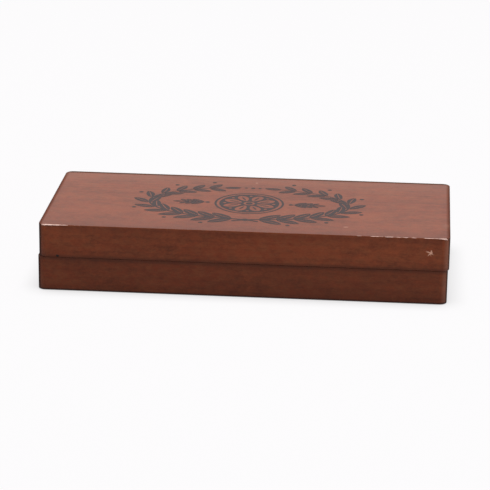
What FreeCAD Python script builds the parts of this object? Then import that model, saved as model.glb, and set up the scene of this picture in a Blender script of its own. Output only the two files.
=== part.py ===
"""Wooden dice box: two halves milled from edge-glued boards and hinged along the back.

The base holds a foam insert with a pocket for each die, the lid is a felt-lined rolling tray,
and two pairs of magnets in the front rims keep the box shut.
Frame: origin at the centre of the underside, +X right, +Y back, +Z up, in millimetres.
"""
import FreeCAD, Part
import math
import os
import Sketcher

V = FreeCAD.Vector

SIZES = {
    # Outer form of the closed box
    "box_length": 215.0,
    "box_depth": 100.0,
    "base_height": 18.2,
    "lid_height": 17.8,
    "lid_shift": 0.6,
    "rear_board_width": 41.8,
    "corner_round": 4.0,
    "edge_bevel": 0.6,
    "rim_bevel": 0.35,
    # Milled hollow of each half
    "wall": 9.0,
    "base_floor": 4.0,
    "lid_top": 4.0,
    "cutter_radius": 6.0,
    # Felt linings
    "felt_thickness": 1.0,
    "felt_gap": 0.2,
    "felt_below_rim": 0.8,
    # Foam insert
    "insert_gap": 0.3,
    "insert_below_rim": 0.5,
    "insert_margin": 4.0,
    "pocket_across": 24.0,
    "least_pocket_web": 3.0,
    "trough_web": 5.0,
    "trough_corner": 6.0,
    # Magnets in the front rims
    "magnet_diameter": 6.0,
    "magnet_thickness": 2.0,
    "magnet_play": 0.05,
    "magnet_below_rim": 0.1,
    "magnet_from_end": 12.0,
    # Butt hinges let into the rear rims
    "hinge_length": 25.0,
    "hinge_from_end": 45.0,
    "leaf_thickness": 1.0,
    "leaf_lip": 2.0,
    "leaf_play": 0.1,
    "leaf_gap": 0.2,
    "barrel_radius": 2.1,
    "barrel_off_wood": 0.3,
    "knuckle_play": 0.15,
    "pin_radius": 1.0,
    "pin_play": 0.05,
    "pin_proud": 0.4,
    "pin_bevel": 0.25,
    # Countersunk screws of the hinges
    "screw_spacing": 16.0,
    "screw_length": 6.0,
    "screw_radius": 0.95,
    "screw_head_radius": 1.85,
    "screw_play": 0.05,
    "leaf_hole_radius": 1.1,
    "pilot_spare_depth": 0.4,
}

KNUCKLES = 3
SCREWS_PER_LEAF = 2
COUNTERSINK_ANGLE = 90

# How near an edge has to lie to a place to count as being there
NEAR = 0.001

# Places that several pieces share, each worked out from the driving dimensions
END = "(sizes.box_length / 2)"
BACK = "(sizes.box_depth / 2)"
GLUE_LINE = "(sizes.box_depth / 2 - sizes.rear_board_width)"
HOLLOW_END = "(sizes.box_length / 2 - sizes.wall)"
HOLLOW_BACK = "(sizes.box_depth / 2 - sizes.wall)"
INSERT_END = f"({HOLLOW_END} - sizes.insert_gap)"
INSERT_BACK = f"({HOLLOW_BACK} - sizes.insert_gap)"
INSERT_CORNER = "(sizes.cutter_radius - sizes.insert_gap)"
FELT_END = f"({HOLLOW_END} - sizes.felt_gap)"
FELT_BACK = f"({HOLLOW_BACK} - sizes.felt_gap)"
FELT_CORNER = "(sizes.cutter_radius - sizes.felt_gap)"
MAGNET_X = "(sizes.box_length / 2 - sizes.magnet_from_end)"
MAGNET_Y = "(sizes.wall / 2 - sizes.box_depth / 2)"
MAGNET_TOP = "(sizes.base_height - sizes.magnet_below_rim)"
HINGE_X = "(sizes.box_length / 2 - sizes.hinge_from_end)"
LEAF_REACH = "(sizes.wall - sizes.leaf_lip)"
AXIS_OUT = "(sizes.barrel_radius + sizes.barrel_off_wood)"
HINGE_Y = f"({BACK} + {AXIS_OUT})"
LEAF_FACE = "(sizes.leaf_gap / 2)"
GAIN_DEPTH = f"({LEAF_FACE} + sizes.leaf_thickness)"
KNUCKLE = f"(sizes.hinge_length / {KNUCKLES})"
SCREW_IN = f"({LEAF_REACH} / 2)"
SCREW_HEAD_DEPTH = "(sizes.screw_head_radius - sizes.screw_radius)"

doc = FreeCAD.newDocument("dice_box")
sheet = doc.addObject("Spreadsheet::Sheet", "sizes")
for row, (name, number) in enumerate(SIZES.items(), start=1):
    sheet.set(f"A{row}", name)
    sheet.set(f"B{row}", str(number))
    sheet.setAlias(f"B{row}", name)
doc.recompute()

pieces = []


def value(expression):
    """The number that an expression on the sheet comes to."""
    return float(sheet.evalExpression(expression))


def new_piece(label):
    """A body of its own for one physical piece."""
    body = doc.addObject("PartDesign::Body", label)
    body.Label = label
    pieces.append(body)
    return body


def place(body, across="0", along="0", up="0", turned=False):
    """Put a piece where it belongs; a turned one is upside down, as the lid lies on the base."""
    angle = 180 if turned else 0
    body.Placement = FreeCAD.Placement(V(0, 0, 0), FreeCAD.Rotation(V(0, 1, 0), angle))
    body.setExpression("Placement.Base.x", across)
    body.setExpression("Placement.Base.y", along)
    body.setExpression("Placement.Base.z", up)


def place_in_lid(body):
    """The lid is drawn like the base, outer face down, and laid on it upside down."""
    place(body, "sizes.lid_shift", "0", "sizes.base_height + sizes.lid_height", turned=True)


def origin_feature(body, role):
    return [item for item in body.Origin.OriginFeatures if item.Role == role][0]


def add_sketch(body, name, plane="XY_Plane", level="0"):
    """An empty sketch on one of the body's own planes, raised to a level."""
    sketch = body.newObject("Sketcher::SketchObject", name)
    sketch.AttachmentSupport = (origin_feature(body, plane), [""])
    sketch.MapMode = "FlatFace"
    sketch.setExpression("AttachmentOffset.Base.z", level)
    return sketch


def hold_measure(sketch, kind, item, expression, point=None):
    """Tie a radius, or one distance of a point from the sketch's origin, to an expression."""
    if point is None:
        rule = Sketcher.Constraint(kind, item, value(expression))
    else:
        rule = Sketcher.Constraint(kind, -1, 1, item, point, value(expression))
    number = sketch.addConstraint(rule)
    sketch.setExpression(f"Constraints[{number}]", expression)


def hold_point(sketch, item, point, across, along):
    """Tie a point of a sketch to its two distances from the sketch's origin."""
    hold_measure(sketch, "DistanceX", item, across, point)
    hold_measure(sketch, "DistanceY", item, along, point)


def draw_outline(sketch, corners):
    """A closed outline of straight lines through corners given as pairs of expressions."""
    points = [V(value(across), value(along), 0) for across, along in corners]
    first = sketch.GeometryCount
    for start, end in zip(points, points[1:] + points[:1]):
        sketch.addGeometry(Part.LineSegment(start, end), False)
    for step, (across, along) in enumerate(corners):
        following = first + (step + 1) % len(corners)
        sketch.addConstraint(Sketcher.Constraint("Coincident", first + step, 2, following, 1))
        hold_point(sketch, first + step, 1, across, along)


def draw_rectangle(sketch, left, right, front, back):
    draw_outline(sketch, [(left, front), (right, front), (right, back), (left, back)])


def draw_circle(sketch, across, along, radius):
    centre = V(value(across), value(along), 0)
    item = sketch.addGeometry(Part.Circle(centre, V(0, 0, 1), value(radius)), False)
    hold_point(sketch, item, 3, across, along)
    hold_measure(sketch, "Radius", item, radius)


def draw_rounded_rectangle(sketch, left, right, front, back, radius):
    """Four sides joined by equal quarter arcs that run smoothly into them."""
    corner = value(radius)
    x_low, x_high = value(left) + corner, value(right) - corner
    y_low, y_high = value(front) + corner, value(back) - corner
    centres = [V(x_high, y_low, 0), V(x_high, y_high, 0), V(x_low, y_high, 0), V(x_low, y_low, 0)]
    first = sketch.GeometryCount
    for quarter, centre in enumerate(centres):
        start = math.radians(90 * (quarter - 1))
        out = V(math.cos(start), math.sin(start), 0) * corner
        circle = Part.Circle(centre, V(0, 0, 1), corner)
        sketch.addGeometry(Part.LineSegment(centres[quarter - 1] + out, centre + out), False)
        sketch.addGeometry(Part.ArcOfCircle(circle, start, start + math.pi / 2), False)
    for quarter, direction in enumerate(("Horizontal", "Vertical", "Horizontal", "Vertical")):
        side = first + 2 * quarter
        next_side = first + 2 * ((quarter + 1) % 4)
        sketch.addConstraint(Sketcher.Constraint(direction, side))
        sketch.addConstraint(Sketcher.Constraint("Tangent", side, 2, side + 1, 1))
        sketch.addConstraint(Sketcher.Constraint("Tangent", side + 1, 2, next_side, 1))
        if quarter > 0:
            sketch.addConstraint(Sketcher.Constraint("Equal", first + 1, side + 1))
    hold_measure(sketch, "DistanceY", first, front, point=1)
    hold_measure(sketch, "DistanceX", first + 2, right, point=1)
    hold_measure(sketch, "DistanceY", first + 4, back, point=1)
    hold_measure(sketch, "DistanceX", first + 6, left, point=1)
    hold_measure(sketch, "Radius", first + 1, radius)


def add_pad(body, name, sketch, length, both_ways=False):
    pad = body.newObject("PartDesign::Pad", name)
    pad.Profile = sketch
    pad.setExpression("Length", length)
    if both_ways:
        pad.SideType = "Symmetric"
    return pad


def add_pocket(body, name, sketch, depth=None):
    """Cut a sketch down from its plane to a depth, or right through both ways."""
    pocket = body.newObject("PartDesign::Pocket", name)
    pocket.Profile = sketch
    if depth is None:
        pocket.Type = "ThroughAll"
        pocket.SideType = "Symmetric"
    else:
        pocket.setExpression("Length", depth)
    return pocket


def add_hole(body, name, sketch, radius, depth=None):
    """Bore every circle of a sketch down from its plane, flat-bottomed to a depth or right through."""
    doc.recompute()
    hole = body.newObject("PartDesign::Hole", name)
    hole.Profile = sketch
    hole.setExpression("Diameter", f"2 * ({radius})")
    if depth is None:
        hole.DepthType = "ThroughAll"
    else:
        hole.setExpression("Depth", depth)
        hole.DrillPoint = "Flat"
    return hole


def dress_edges(body, name, feature_type, wanted):
    """A fillet or chamfer on the edges of the piece so far whose boxes answer to a test."""
    doc.recompute()
    base = body.Tip
    chosen = [f"Edge{n}" for n, edge in enumerate(base.Shape.Edges, start=1) if wanted(edge.BoundBox)]
    dressing = body.newObject(feature_type, name)
    dressing.Base = (base, chosen)
    return dressing


def round_edges(body, name, wanted, radius):
    dress_edges(body, name, "PartDesign::Fillet", wanted).setExpression("Radius", radius)


def bevel_edges(body, name, wanted, size):
    dress_edges(body, name, "PartDesign::Chamfer", wanted).setExpression("Size", size)


def upright_at(half_across, along):
    """A test for upright edges at plus or minus one distance across, at one place along."""
    def wanted(box):
        is_upright = box.XLength < NEAR and box.YLength < NEAR
        at_side = abs(abs(box.XMin) - value(half_across)) < NEAR
        return is_upright and at_side and abs(box.YMin - value(along)) < NEAR
    return wanted


def lies_at(box, level):
    return abs(box.ZMin - level) < NEAR and abs(box.ZMax - level) < NEAR


def on_glue_line(box):
    glue_line = value(GLUE_LINE)
    return abs(box.YMin - glue_line) < NEAR and abs(box.YMax - glue_line) < NEAR


def in_hollow(box):
    """Whether an edge lies round the mouth of the hollow and not round the outside."""
    end = value(HOLLOW_END) + NEAR
    back = value(HOLLOW_BACK) + NEAR
    return max(-box.XMin, box.XMax) < end and max(-box.YMin, box.YMax) < back


def mill_board(label, height, skin, is_rear):
    """One board of a half: blank with round corners, hollow milled from the rim, bevelled edges."""
    body = new_piece(label)
    outer = BACK if is_rear else f"-{BACK}"
    hollow = HOLLOW_BACK if is_rear else f"-{HOLLOW_BACK}"
    blank = add_sketch(body, "blank_outline")
    draw_rectangle(blank, f"-{END}", END, *sorted([outer, GLUE_LINE], key=value))
    add_pad(body, "blank", blank, height)
    round_edges(body, "outer_corners", upright_at(END, outer), "sizes.corner_round")
    mouth = add_sketch(body, "hollow_outline", level=height)
    draw_rectangle(mouth, f"-{HOLLOW_END}", HOLLOW_END, *sorted([hollow, GLUE_LINE], key=value))
    add_pocket(body, "hollow", mouth, f"{height} - {skin}")
    round_edges(body, "hollow_corners", upright_at(HOLLOW_END, hollow), "sizes.cutter_radius")
    rim = value(height)

    def outer_edge(box):
        return lies_at(box, 0) and not on_glue_line(box)

    def rim_edge(box):
        return lies_at(box, rim) and not on_glue_line(box) and not in_hollow(box)

    bevel_edges(body, "bevelled_outer_edge", outer_edge, "sizes.edge_bevel")
    bevel_edges(body, "bevelled_rim", rim_edge, "sizes.rim_bevel")
    return body


def bore_for_magnets(body, height, shift):
    """Two flat-bottomed holes in the front rim, opposite those of the other half."""
    sketch = add_sketch(body, "magnet_places", level=height)
    hole_radius = "sizes.magnet_diameter / 2 + sizes.magnet_play"
    for side in ("-", "+"):
        draw_circle(sketch, f"{shift} {side} {MAGNET_X}", MAGNET_Y, hole_radius)
    depth = "sizes.magnet_below_rim + sizes.magnet_thickness"
    add_hole(body, "magnet_holes", sketch, hole_radius, depth)


def let_in_hinges(body, height, shift):
    """Gains for the two leaves in the rear rim, and pilot holes for their screws."""
    gains = add_sketch(body, "gain_outlines", level=height)
    pilots = add_sketch(body, "pilot_places", level=f"{height} - {GAIN_DEPTH}")
    half = "(sizes.hinge_length / 2 + sizes.leaf_play)"
    pilot_radius = "sizes.screw_radius + sizes.screw_play"
    for side in ("-", "+"):
        middle = f"({shift} {side} {HINGE_X})"
        inner_edge = f"{BACK} - {LEAF_REACH} - sizes.leaf_play"
        draw_rectangle(gains, f"{middle} - {half}", f"{middle} + {half}", inner_edge, f"{BACK} + sizes.wall")
        for end in ("-", "+"):
            across = f"{middle} {end} sizes.screw_spacing / 2"
            draw_circle(pilots, across, f"{BACK} - {SCREW_IN}", pilot_radius)
    add_pocket(body, "gains", gains, GAIN_DEPTH)
    depth = "sizes.screw_length - sizes.leaf_thickness + sizes.pilot_spare_depth"
    add_hole(body, "pilot_holes", pilots, pilot_radius, depth)


def build_half(prefix, height, skin, shift):
    """Both boards of a half, bored and let in so that they meet the other half's."""
    front = mill_board(f"{prefix}_front_board", height, skin, is_rear=False)
    bore_for_magnets(front, height, shift)
    rear = mill_board(f"{prefix}_rear_board", height, skin, is_rear=True)
    let_in_hinges(rear, height, shift)
    return front, rear


def cut_felt_floor(label, skin):
    """A felt panel laid on the floor of a hollow."""
    body = new_piece(label)
    outline = add_sketch(body, "panel_outline", level=skin)
    draw_rounded_rectangle(outline, f"-{FELT_END}", FELT_END, f"-{FELT_BACK}", FELT_BACK, FELT_CORNER)
    add_pad(body, "panel", outline, "sizes.felt_thickness")
    return body


def cut_felt_walls(label, height, skin):
    """A felt strip that lines the four walls of a hollow, standing on the felt floor."""
    body = new_piece(label)
    foot = f"({skin} + sizes.felt_thickness)"
    outline = add_sketch(body, "strip_outline", level=foot)
    draw_rounded_rectangle(outline, f"-{FELT_END}", FELT_END, f"-{FELT_BACK}", FELT_BACK, FELT_CORNER)
    end = f"({FELT_END} - sizes.felt_thickness)"
    back = f"({FELT_BACK} - sizes.felt_thickness)"
    inner_corner = f"{FELT_CORNER} - sizes.felt_thickness"
    draw_rounded_rectangle(outline, f"-{end}", end, f"-{back}", back, inner_corner)
    add_pad(body, "strip", outline, f"{height} - sizes.felt_below_rim - {foot}")
    return body


def cut_insert(label):
    """The foam insert: a row of six-sided dice pockets and a trough, cut right through."""
    body = new_piece(label)
    foot = "(sizes.base_floor + sizes.felt_thickness)"
    outline = add_sketch(body, "foam_outline", level=foot)
    sides = (f"-{INSERT_END}", INSERT_END, f"-{INSERT_BACK}", INSERT_BACK)
    draw_rounded_rectangle(outline, *sides, INSERT_CORNER)
    add_pad(body, "foam", outline, f"sizes.base_height - sizes.insert_below_rim - {foot}")

    point_reach = "sizes.pocket_across / sqrt(3)"
    row_room = f"(2 * {INSERT_END} - 2 * sizes.insert_margin)"
    first_x = f"(sizes.insert_margin + sizes.pocket_across / 2 - {INSERT_END})"
    row_y = f"(sizes.insert_margin + {point_reach} - {INSERT_BACK})"
    pocket = add_sketch(body, "pocket_outline", level=foot)
    draw_outline(pocket, [
        (first_x, f"{row_y} - {point_reach}"),
        (f"{first_x} + sizes.pocket_across / 2", f"{row_y} - {point_reach} / 2"),
        (f"{first_x} + sizes.pocket_across / 2", f"{row_y} + {point_reach} / 2"),
        (first_x, f"{row_y} + {point_reach}"),
        (f"{first_x} - sizes.pocket_across / 2", f"{row_y} + {point_reach} / 2"),
        (f"{first_x} - sizes.pocket_across / 2", f"{row_y} - {point_reach} / 2"),
    ])
    first_pocket = add_pocket(body, "dice_pocket", pocket)
    row = body.newObject("PartDesign::LinearPattern", "dice_pockets")
    row.Originals = [first_pocket]
    row.Direction = (origin_feature(body, "X_Axis"), [""])
    row.setExpression("Length", f"{row_room} - sizes.pocket_across")
    with_web = "(sizes.pocket_across + sizes.least_pocket_web)"
    row.setExpression("Occurrences", f"floor(({row_room} + sizes.least_pocket_web) / {with_web})")
    body.Tip = row

    trough_end = f"({INSERT_END} - sizes.insert_margin)"
    trough_front = f"({row_y} + {point_reach} + sizes.trough_web)"
    trough_back = f"({INSERT_BACK} - sizes.insert_margin)"
    trough = add_sketch(body, "trough_outline", level=foot)
    sides = (f"-{trough_end}", trough_end, trough_front, trough_back)
    draw_rounded_rectangle(trough, *sides, "sizes.trough_corner")
    add_pocket(body, "trough", trough)
    return body


def turn_magnet(label):
    """A disc magnet lying on its back, its face at the top."""
    body = new_piece(label)
    disc = add_sketch(body, "disc_outline", level="-sizes.magnet_thickness")
    draw_circle(disc, "0", "0", "sizes.magnet_diameter / 2")
    add_pad(body, "disc", disc, "sizes.magnet_thickness")
    return body


def shape_leaf(label, is_lid_leaf):
    """A hinge leaf about its pin line: plate to the front, below the line, and its knuckles.

    The leaf that is screwed to the base has the odd knuckles, the lid's has the even ones,
    and each is notched clear of the other's.
    """
    body = new_piece(label)
    half = "(sizes.hinge_length / 2)"
    plate = add_sketch(body, "plate_outline", level=f"-{GAIN_DEPTH}")
    draw_rectangle(plate, f"-{half}", half, f"-{AXIS_OUT} - {LEAF_REACH}", "0")
    add_pad(body, "plate", plate, "sizes.leaf_thickness")
    barrel = add_sketch(body, "barrel_outline", plane="YZ_Plane")
    draw_circle(barrel, "0", "0", "sizes.barrel_radius")
    add_pad(body, "barrel", barrel, "sizes.hinge_length", both_ways=True)

    notches = add_sketch(body, "notch_outlines")
    reach = "(sizes.barrel_radius + sizes.knuckle_play)"
    spare = "sizes.knuckle_play" if is_lid_leaf else "0"
    for knuckle in range(0 if is_lid_leaf else 1, KNUCKLES, 2):
        left = f"{knuckle} * {KNUCKLE} - {half} - {spare}"
        right = f"{knuckle + 1} * {KNUCKLE} - {half} + {spare}"
        draw_rectangle(notches, left, right, f"-{reach}", reach)
    add_pocket(body, "notches", notches)
    bore = add_sketch(body, "bore_outline", plane="YZ_Plane")
    draw_circle(bore, "0", "0", "sizes.pin_radius + sizes.pin_play")
    add_pocket(body, "bore", bore)

    holes = add_sketch(body, "screw_places", level=f"-{LEAF_FACE}")
    for side in ("-", "+"):
        across = f"{side}sizes.screw_spacing / 2"
        draw_circle(holes, across, f"-{AXIS_OUT} - {SCREW_IN}", "sizes.leaf_hole_radius")
    hole = add_hole(body, "screw_holes", holes, "sizes.leaf_hole_radius")
    hole.HoleCutType = "Countersink"
    hole.HoleCutCustomValues = True
    hole.HoleCutCountersinkAngle = COUNTERSINK_ANGLE
    hole.setExpression("HoleCutDiameter", "2 * (sizes.screw_head_radius + sizes.screw_play)")
    return body


def turn_pin(label):
    """The hinge pin, its bevelled ends standing a little proud of the barrel."""
    body = new_piece(label)
    length = "(sizes.hinge_length + 2 * sizes.pin_proud)"
    outline = add_sketch(body, "pin_outline", plane="YZ_Plane")
    draw_circle(outline, "0", "0", "sizes.pin_radius")
    add_pad(body, "pin", outline, length, both_ways=True)
    bevel_edges(body, "bevelled_ends", lambda box: box.XLength < NEAR, "sizes.pin_bevel")
    return body


def turn_screws(label):
    """The countersunk screws of one leaf, as they stand in it, heads up."""
    body = new_piece(label)
    across = "(-sizes.screw_spacing / 2)"
    profile = add_sketch(body, "screw_profile", plane="XZ_Plane")
    draw_outline(profile, [
        (across, "0"),
        (f"{across} + sizes.screw_head_radius", "0"),
        (f"{across} + sizes.screw_radius", f"-{SCREW_HEAD_DEPTH}"),
        (f"{across} + sizes.screw_radius", "-sizes.screw_length"),
        (across, "-sizes.screw_length"),
    ])
    screw = body.newObject("PartDesign::Revolution", "screw")
    screw.Profile = profile
    screw.ReferenceAxis = (profile, [f"Edge{profile.GeometryCount}"])
    pair = body.newObject("PartDesign::LinearPattern", "screws")
    pair.Originals = [screw]
    pair.Direction = (origin_feature(body, "X_Axis"), [""])
    pair.setExpression("Length", "sizes.screw_spacing")
    pair.Occurrences = SCREWS_PER_LEAF
    body.Tip = pair
    return body


def check_and_export():
    """Stop on any failed feature or idle cut, then write each piece under its own name."""
    doc.recompute()
    for item in doc.Objects:
        if "Invalid" in item.State or "Error" in item.State:
            raise RuntimeError(f"{item.Label} failed: {item.State}")
        is_cut = item.TypeId in ("PartDesign::Pocket", "PartDesign::Hole")
        if is_cut and item.Shape.Volume >= item.BaseFeature.Shape.Volume:
            raise RuntimeError(f"{item.Label} cuts nothing")
    for body in pieces:
        if body.Shape.isNull() or not body.Shape.isValid():
            raise RuntimeError(f"{body.Label} has no sound shape")
    os.makedirs("parts", exist_ok=True)
    for body in pieces:
        body.Shape.exportStep(f"parts/{body.Label}.step")


build_half("base", "sizes.base_height", "sizes.base_floor", "0")
for board in build_half("lid", "sizes.lid_height", "sizes.lid_top", "sizes.lid_shift"):
    place_in_lid(board)

cut_felt_floor("base_felt", "sizes.base_floor")
cut_insert("dice_insert")
place_in_lid(cut_felt_floor("lid_floor_felt", "sizes.lid_top"))
place_in_lid(cut_felt_walls("lid_wall_felt", "sizes.lid_height", "sizes.lid_top"))

for hand, side in (("left", "-"), ("right", "+")):
    magnet_x = f"{side}{MAGNET_X}"
    place(turn_magnet(f"base_magnet_{hand}"), magnet_x, MAGNET_Y, MAGNET_TOP)
    lid_magnet_face = "sizes.base_height + sizes.magnet_below_rim"
    place(turn_magnet(f"lid_magnet_{hand}"), magnet_x, MAGNET_Y, lid_magnet_face, turned=True)

    hinge_x = f"{side}{HINGE_X}"
    hinge_line = (hinge_x, HINGE_Y, "sizes.base_height")
    place(shape_leaf(f"hinge_{hand}_base_leaf", is_lid_leaf=False), *hinge_line)
    place(shape_leaf(f"hinge_{hand}_lid_leaf", is_lid_leaf=True), *hinge_line, turned=True)
    place(turn_pin(f"hinge_{hand}_pin"), *hinge_line)
    screw_y = f"{BACK} - {SCREW_IN}"
    base_heads = f"sizes.base_height - {LEAF_FACE}"
    lid_heads = f"sizes.base_height + {LEAF_FACE}"
    place(turn_screws(f"hinge_{hand}_base_screws"), hinge_x, screw_y, base_heads)
    place(turn_screws(f"hinge_{hand}_lid_screws"), hinge_x, screw_y, lid_heads, turned=True)

check_and_export()
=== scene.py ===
"""A wooden dice box: hinged halves of stained boards, a printed lid, foam, felt and brass."""
import bmesh
import bpy
import math
from mathutils import Matrix, Quaternion, Vector, noise


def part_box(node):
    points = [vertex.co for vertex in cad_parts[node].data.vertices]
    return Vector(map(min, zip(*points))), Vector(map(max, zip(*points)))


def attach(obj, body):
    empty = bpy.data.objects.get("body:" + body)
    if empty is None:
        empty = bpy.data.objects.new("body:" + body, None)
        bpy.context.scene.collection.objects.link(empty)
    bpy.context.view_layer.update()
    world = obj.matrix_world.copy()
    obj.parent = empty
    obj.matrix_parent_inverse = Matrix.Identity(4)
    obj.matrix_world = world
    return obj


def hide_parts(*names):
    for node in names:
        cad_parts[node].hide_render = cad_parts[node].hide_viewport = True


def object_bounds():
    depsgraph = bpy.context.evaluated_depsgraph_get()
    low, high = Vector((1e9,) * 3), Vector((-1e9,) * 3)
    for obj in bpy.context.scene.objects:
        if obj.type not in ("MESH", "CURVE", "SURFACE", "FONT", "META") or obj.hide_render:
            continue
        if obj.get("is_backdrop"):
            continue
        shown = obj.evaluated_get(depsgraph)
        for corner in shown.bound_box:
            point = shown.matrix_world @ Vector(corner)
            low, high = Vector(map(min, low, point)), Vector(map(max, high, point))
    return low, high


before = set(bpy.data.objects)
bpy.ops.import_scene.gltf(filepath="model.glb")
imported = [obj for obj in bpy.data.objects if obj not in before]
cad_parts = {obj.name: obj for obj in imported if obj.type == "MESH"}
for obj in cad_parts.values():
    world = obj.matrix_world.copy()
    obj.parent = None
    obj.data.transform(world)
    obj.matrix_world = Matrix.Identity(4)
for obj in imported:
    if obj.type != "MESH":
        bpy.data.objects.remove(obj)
cad_low, cad_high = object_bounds()
MM = 0.001

# Camera
# The box is seen through a long lens from its front, well above it and a little to its right,
# by a camera that is held almost level.
camera_lens = 169.0
camera_distance = 1.2490
camera_azimuth = math.radians(4.37)
camera_elevation = math.radians(18.16)
camera_roll = math.radians(0.75)
camera_aim = Vector((-0.0020, 0.0, 0.0123))

scene = bpy.context.scene
scene.view_settings.view_transform = "Standard"
back = Vector((
    math.sin(camera_azimuth) * math.cos(camera_elevation),
    -math.cos(camera_azimuth) * math.cos(camera_elevation),
    math.sin(camera_elevation),
))
camera = bpy.data.objects.new("camera", bpy.data.cameras.new("camera"))
camera.data.lens = camera_lens
camera.data.clip_start = 0.01
camera.data.clip_end = 50.0
camera.location = camera_aim + camera_distance * back
camera.rotation_mode = "QUATERNION"
camera.rotation_quaternion = (-back).to_track_quat("-Z", "Y") @ Quaternion((0, 0, 1), camera_roll)
scene.collection.objects.link(camera)
scene.camera = camera


# Studio
# A white table that runs on to a white background, a wide lamp overhead, and weaker ones in
# front and to the right. To the camera the white stays white, with a soft shadow on it.
class Pattern:
    """A value in a finish's nodes, so that the maths of a pattern reads as plain sums."""

    def __init__(self, finish, socket):
        self.finish = finish
        self.socket = socket

    def by(self, operation, *others):
        return self.finish.node("Math", {"operation": operation}, dict(enumerate((self,) + others)))

    def __add__(self, other):
        return self.by("ADD", other)

    def __sub__(self, other):
        return self.by("SUBTRACT", other)

    def __mul__(self, other):
        return self.by("MULTIPLY", other)

    def __rsub__(self, other):
        return self.finish.node("Math", {"operation": "SUBTRACT"}, {0: other, 1: self})

    def __abs__(self):
        return self.by("ABSOLUTE")

    __radd__ = __add__
    __rmul__ = __mul__

    def least(self, other):
        return self.by("MINIMUM", other)

    def most(self, other):
        return self.by("MAXIMUM", other)

    def ramp(self, none_at, all_at):
        """Nothing at one value, everything at the other, and smooth between them."""
        edges = {"Value": self, "From Min": none_at, "From Max": all_at}
        return self.finish.node("MapRange", {"interpolation_type": "SMOOTHSTEP"}, edges)

    def stretch(self, factors):
        return self.finish.node("VectorMath", {"operation": "MULTIPLY"}, {0: self, 1: factors})

    def shift(self, other):
        return self.finish.node("VectorMath", {"operation": "ADD"}, {0: self, 1: other})

    def length(self):
        return self.finish.node("VectorMath", {"operation": "LENGTH"}, {0: self}, output="Value")

    def noise(self, cycles, detail=2.0, roughness=0.5):
        """Smooth noise about a half, with so many cycles to the millimetre in each direction."""
        inputs = {"Vector": self.stretch(cycles), "Scale": 1.0, "Detail": detail, "Roughness": roughness}
        return self.finish.node("TexNoise", {}, inputs)

    def axes(self):
        split = self.finish.node("SeparateXYZ", {}, {0: self}).socket.node
        return [Pattern(self.finish, socket) for socket in split.outputs]


class Finish:
    """The nodes of one material, or of the world."""

    def __init__(self, block):
        block.use_nodes = True
        self.block = block
        self.tree = block.node_tree
        self.tree.nodes.clear()

    def node(self, kind, settings, inputs=None, output=0):
        """Any node: its settings or stops first, then the values or links of its sockets."""
        node = self.tree.nodes.new("ShaderNode" + kind)
        for name, setting in settings.items():
            if name == "stops":
                for position, share in setting[1:-1]:
                    node.color_ramp.elements.new(position)
                for element, (position, share) in zip(node.color_ramp.elements, setting):
                    element.color = (share, share, share, 1)
            else:
                setattr(node, name, setting)
        for name, value in (inputs or {}).items():
            if isinstance(value, Pattern):
                self.tree.links.new(value.socket, node.inputs[name])
            else:
                node.inputs[name].default_value = value
        return Pattern(self, node.outputs[output])

    def place(self):
        """Where a point of the piece is, in millimetres."""
        return self.node("TexCoord", {}, output="Object").stretch((1 / MM, 1 / MM, 1 / MM))

    def facing(self):
        return self.node("TexCoord", {}, output="Normal").axes()

    def vector(self, **parts):
        return self.node("CombineXYZ", {}, parts)

    def mix(self, first, second, share):
        """Two colours, with a share of the second."""
        settings = {"data_type": "RGBA", "clamp_factor": True}
        return self.node("Mix", settings, {0: share, 6: first, 7: second}, output=2)

    def blend(self, first, second, share):
        return self.node("MixShader", {}, {0: share, 1: first, 2: second})

    def bump(self, height, distance, strength=1.0):
        return self.node("Bump", {}, {"Height": height, "Distance": distance, "Strength": strength})

    def show(self, shader, kind="OutputMaterial"):
        output = self.tree.nodes.new("ShaderNode" + kind)
        self.tree.links.new(shader.socket, output.inputs["Surface"])
        return self.block

    def seen(self):
        """One for a ray from the camera, a gloss or a glass, and nothing for any other."""
        rays = self.node("LightPath", {}).socket.node
        wanted = ("Is Camera Ray", "Is Glossy Ray", "Is Transmission Ray")
        camera_ray, glossy_ray, glass_ray = [Pattern(self, rays.outputs[name]) for name in wanted]
        return (camera_ray + glossy_ray + glass_ray).least(1.0)


paper_white = (1.0, 0.99, 1.0, 1)
table_white = (0.62, 0.61, 0.62, 1)
table_reach = 6.0
table_drop = 0.2 * MM
shadow_lift = 0.95
contact_reach = 12.0 * MM
contact_shade = 0.55
sky_fill = 0.12

table = bpy.data.objects.new("table", bpy.data.meshes.new("table"))
cloth = bmesh.new()
bmesh.ops.create_grid(cloth, x_segments=1, y_segments=1, size=table_reach)
bmesh.ops.translate(cloth, verts=cloth.verts, vec=(0, 0, cad_low.z - table_drop))
cloth.to_mesh(table.data)
cloth.free()
white = Finish(bpy.data.materials.new("white_table"))
matt = white.node("BsdfDiffuse", {}, {"Color": table_white})
bright = white.node("Emission", {}, {"Color": paper_white, "Strength": 1.0})
# Painted contact shadow: an ambient occlusion node dims the white emission where the box is near, beside the
# faint real shadow that shows through.
nearness = white.node("AmbientOcclusion", {"samples": 16}, {"Distance": contact_reach}, output="AO")
lift = (1.0 - (1.0 - nearness) * contact_shade) * shadow_lift
table.data.materials.append(white.show(white.blend(matt, bright, white.seen() * lift)))
scene.collection.objects.link(table)
table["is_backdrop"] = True

sky = Finish(bpy.data.worlds.new("sky"))
dim = sky.node("Background", {}, {"Color": (1, 1, 1, 1), "Strength": sky_fill})
pale = sky.node("Background", {}, {"Color": paper_white, "Strength": 1.0})
scene.world = sky.show(sky.blend(dim, pale, sky.seen()), "OutputWorld")


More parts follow.
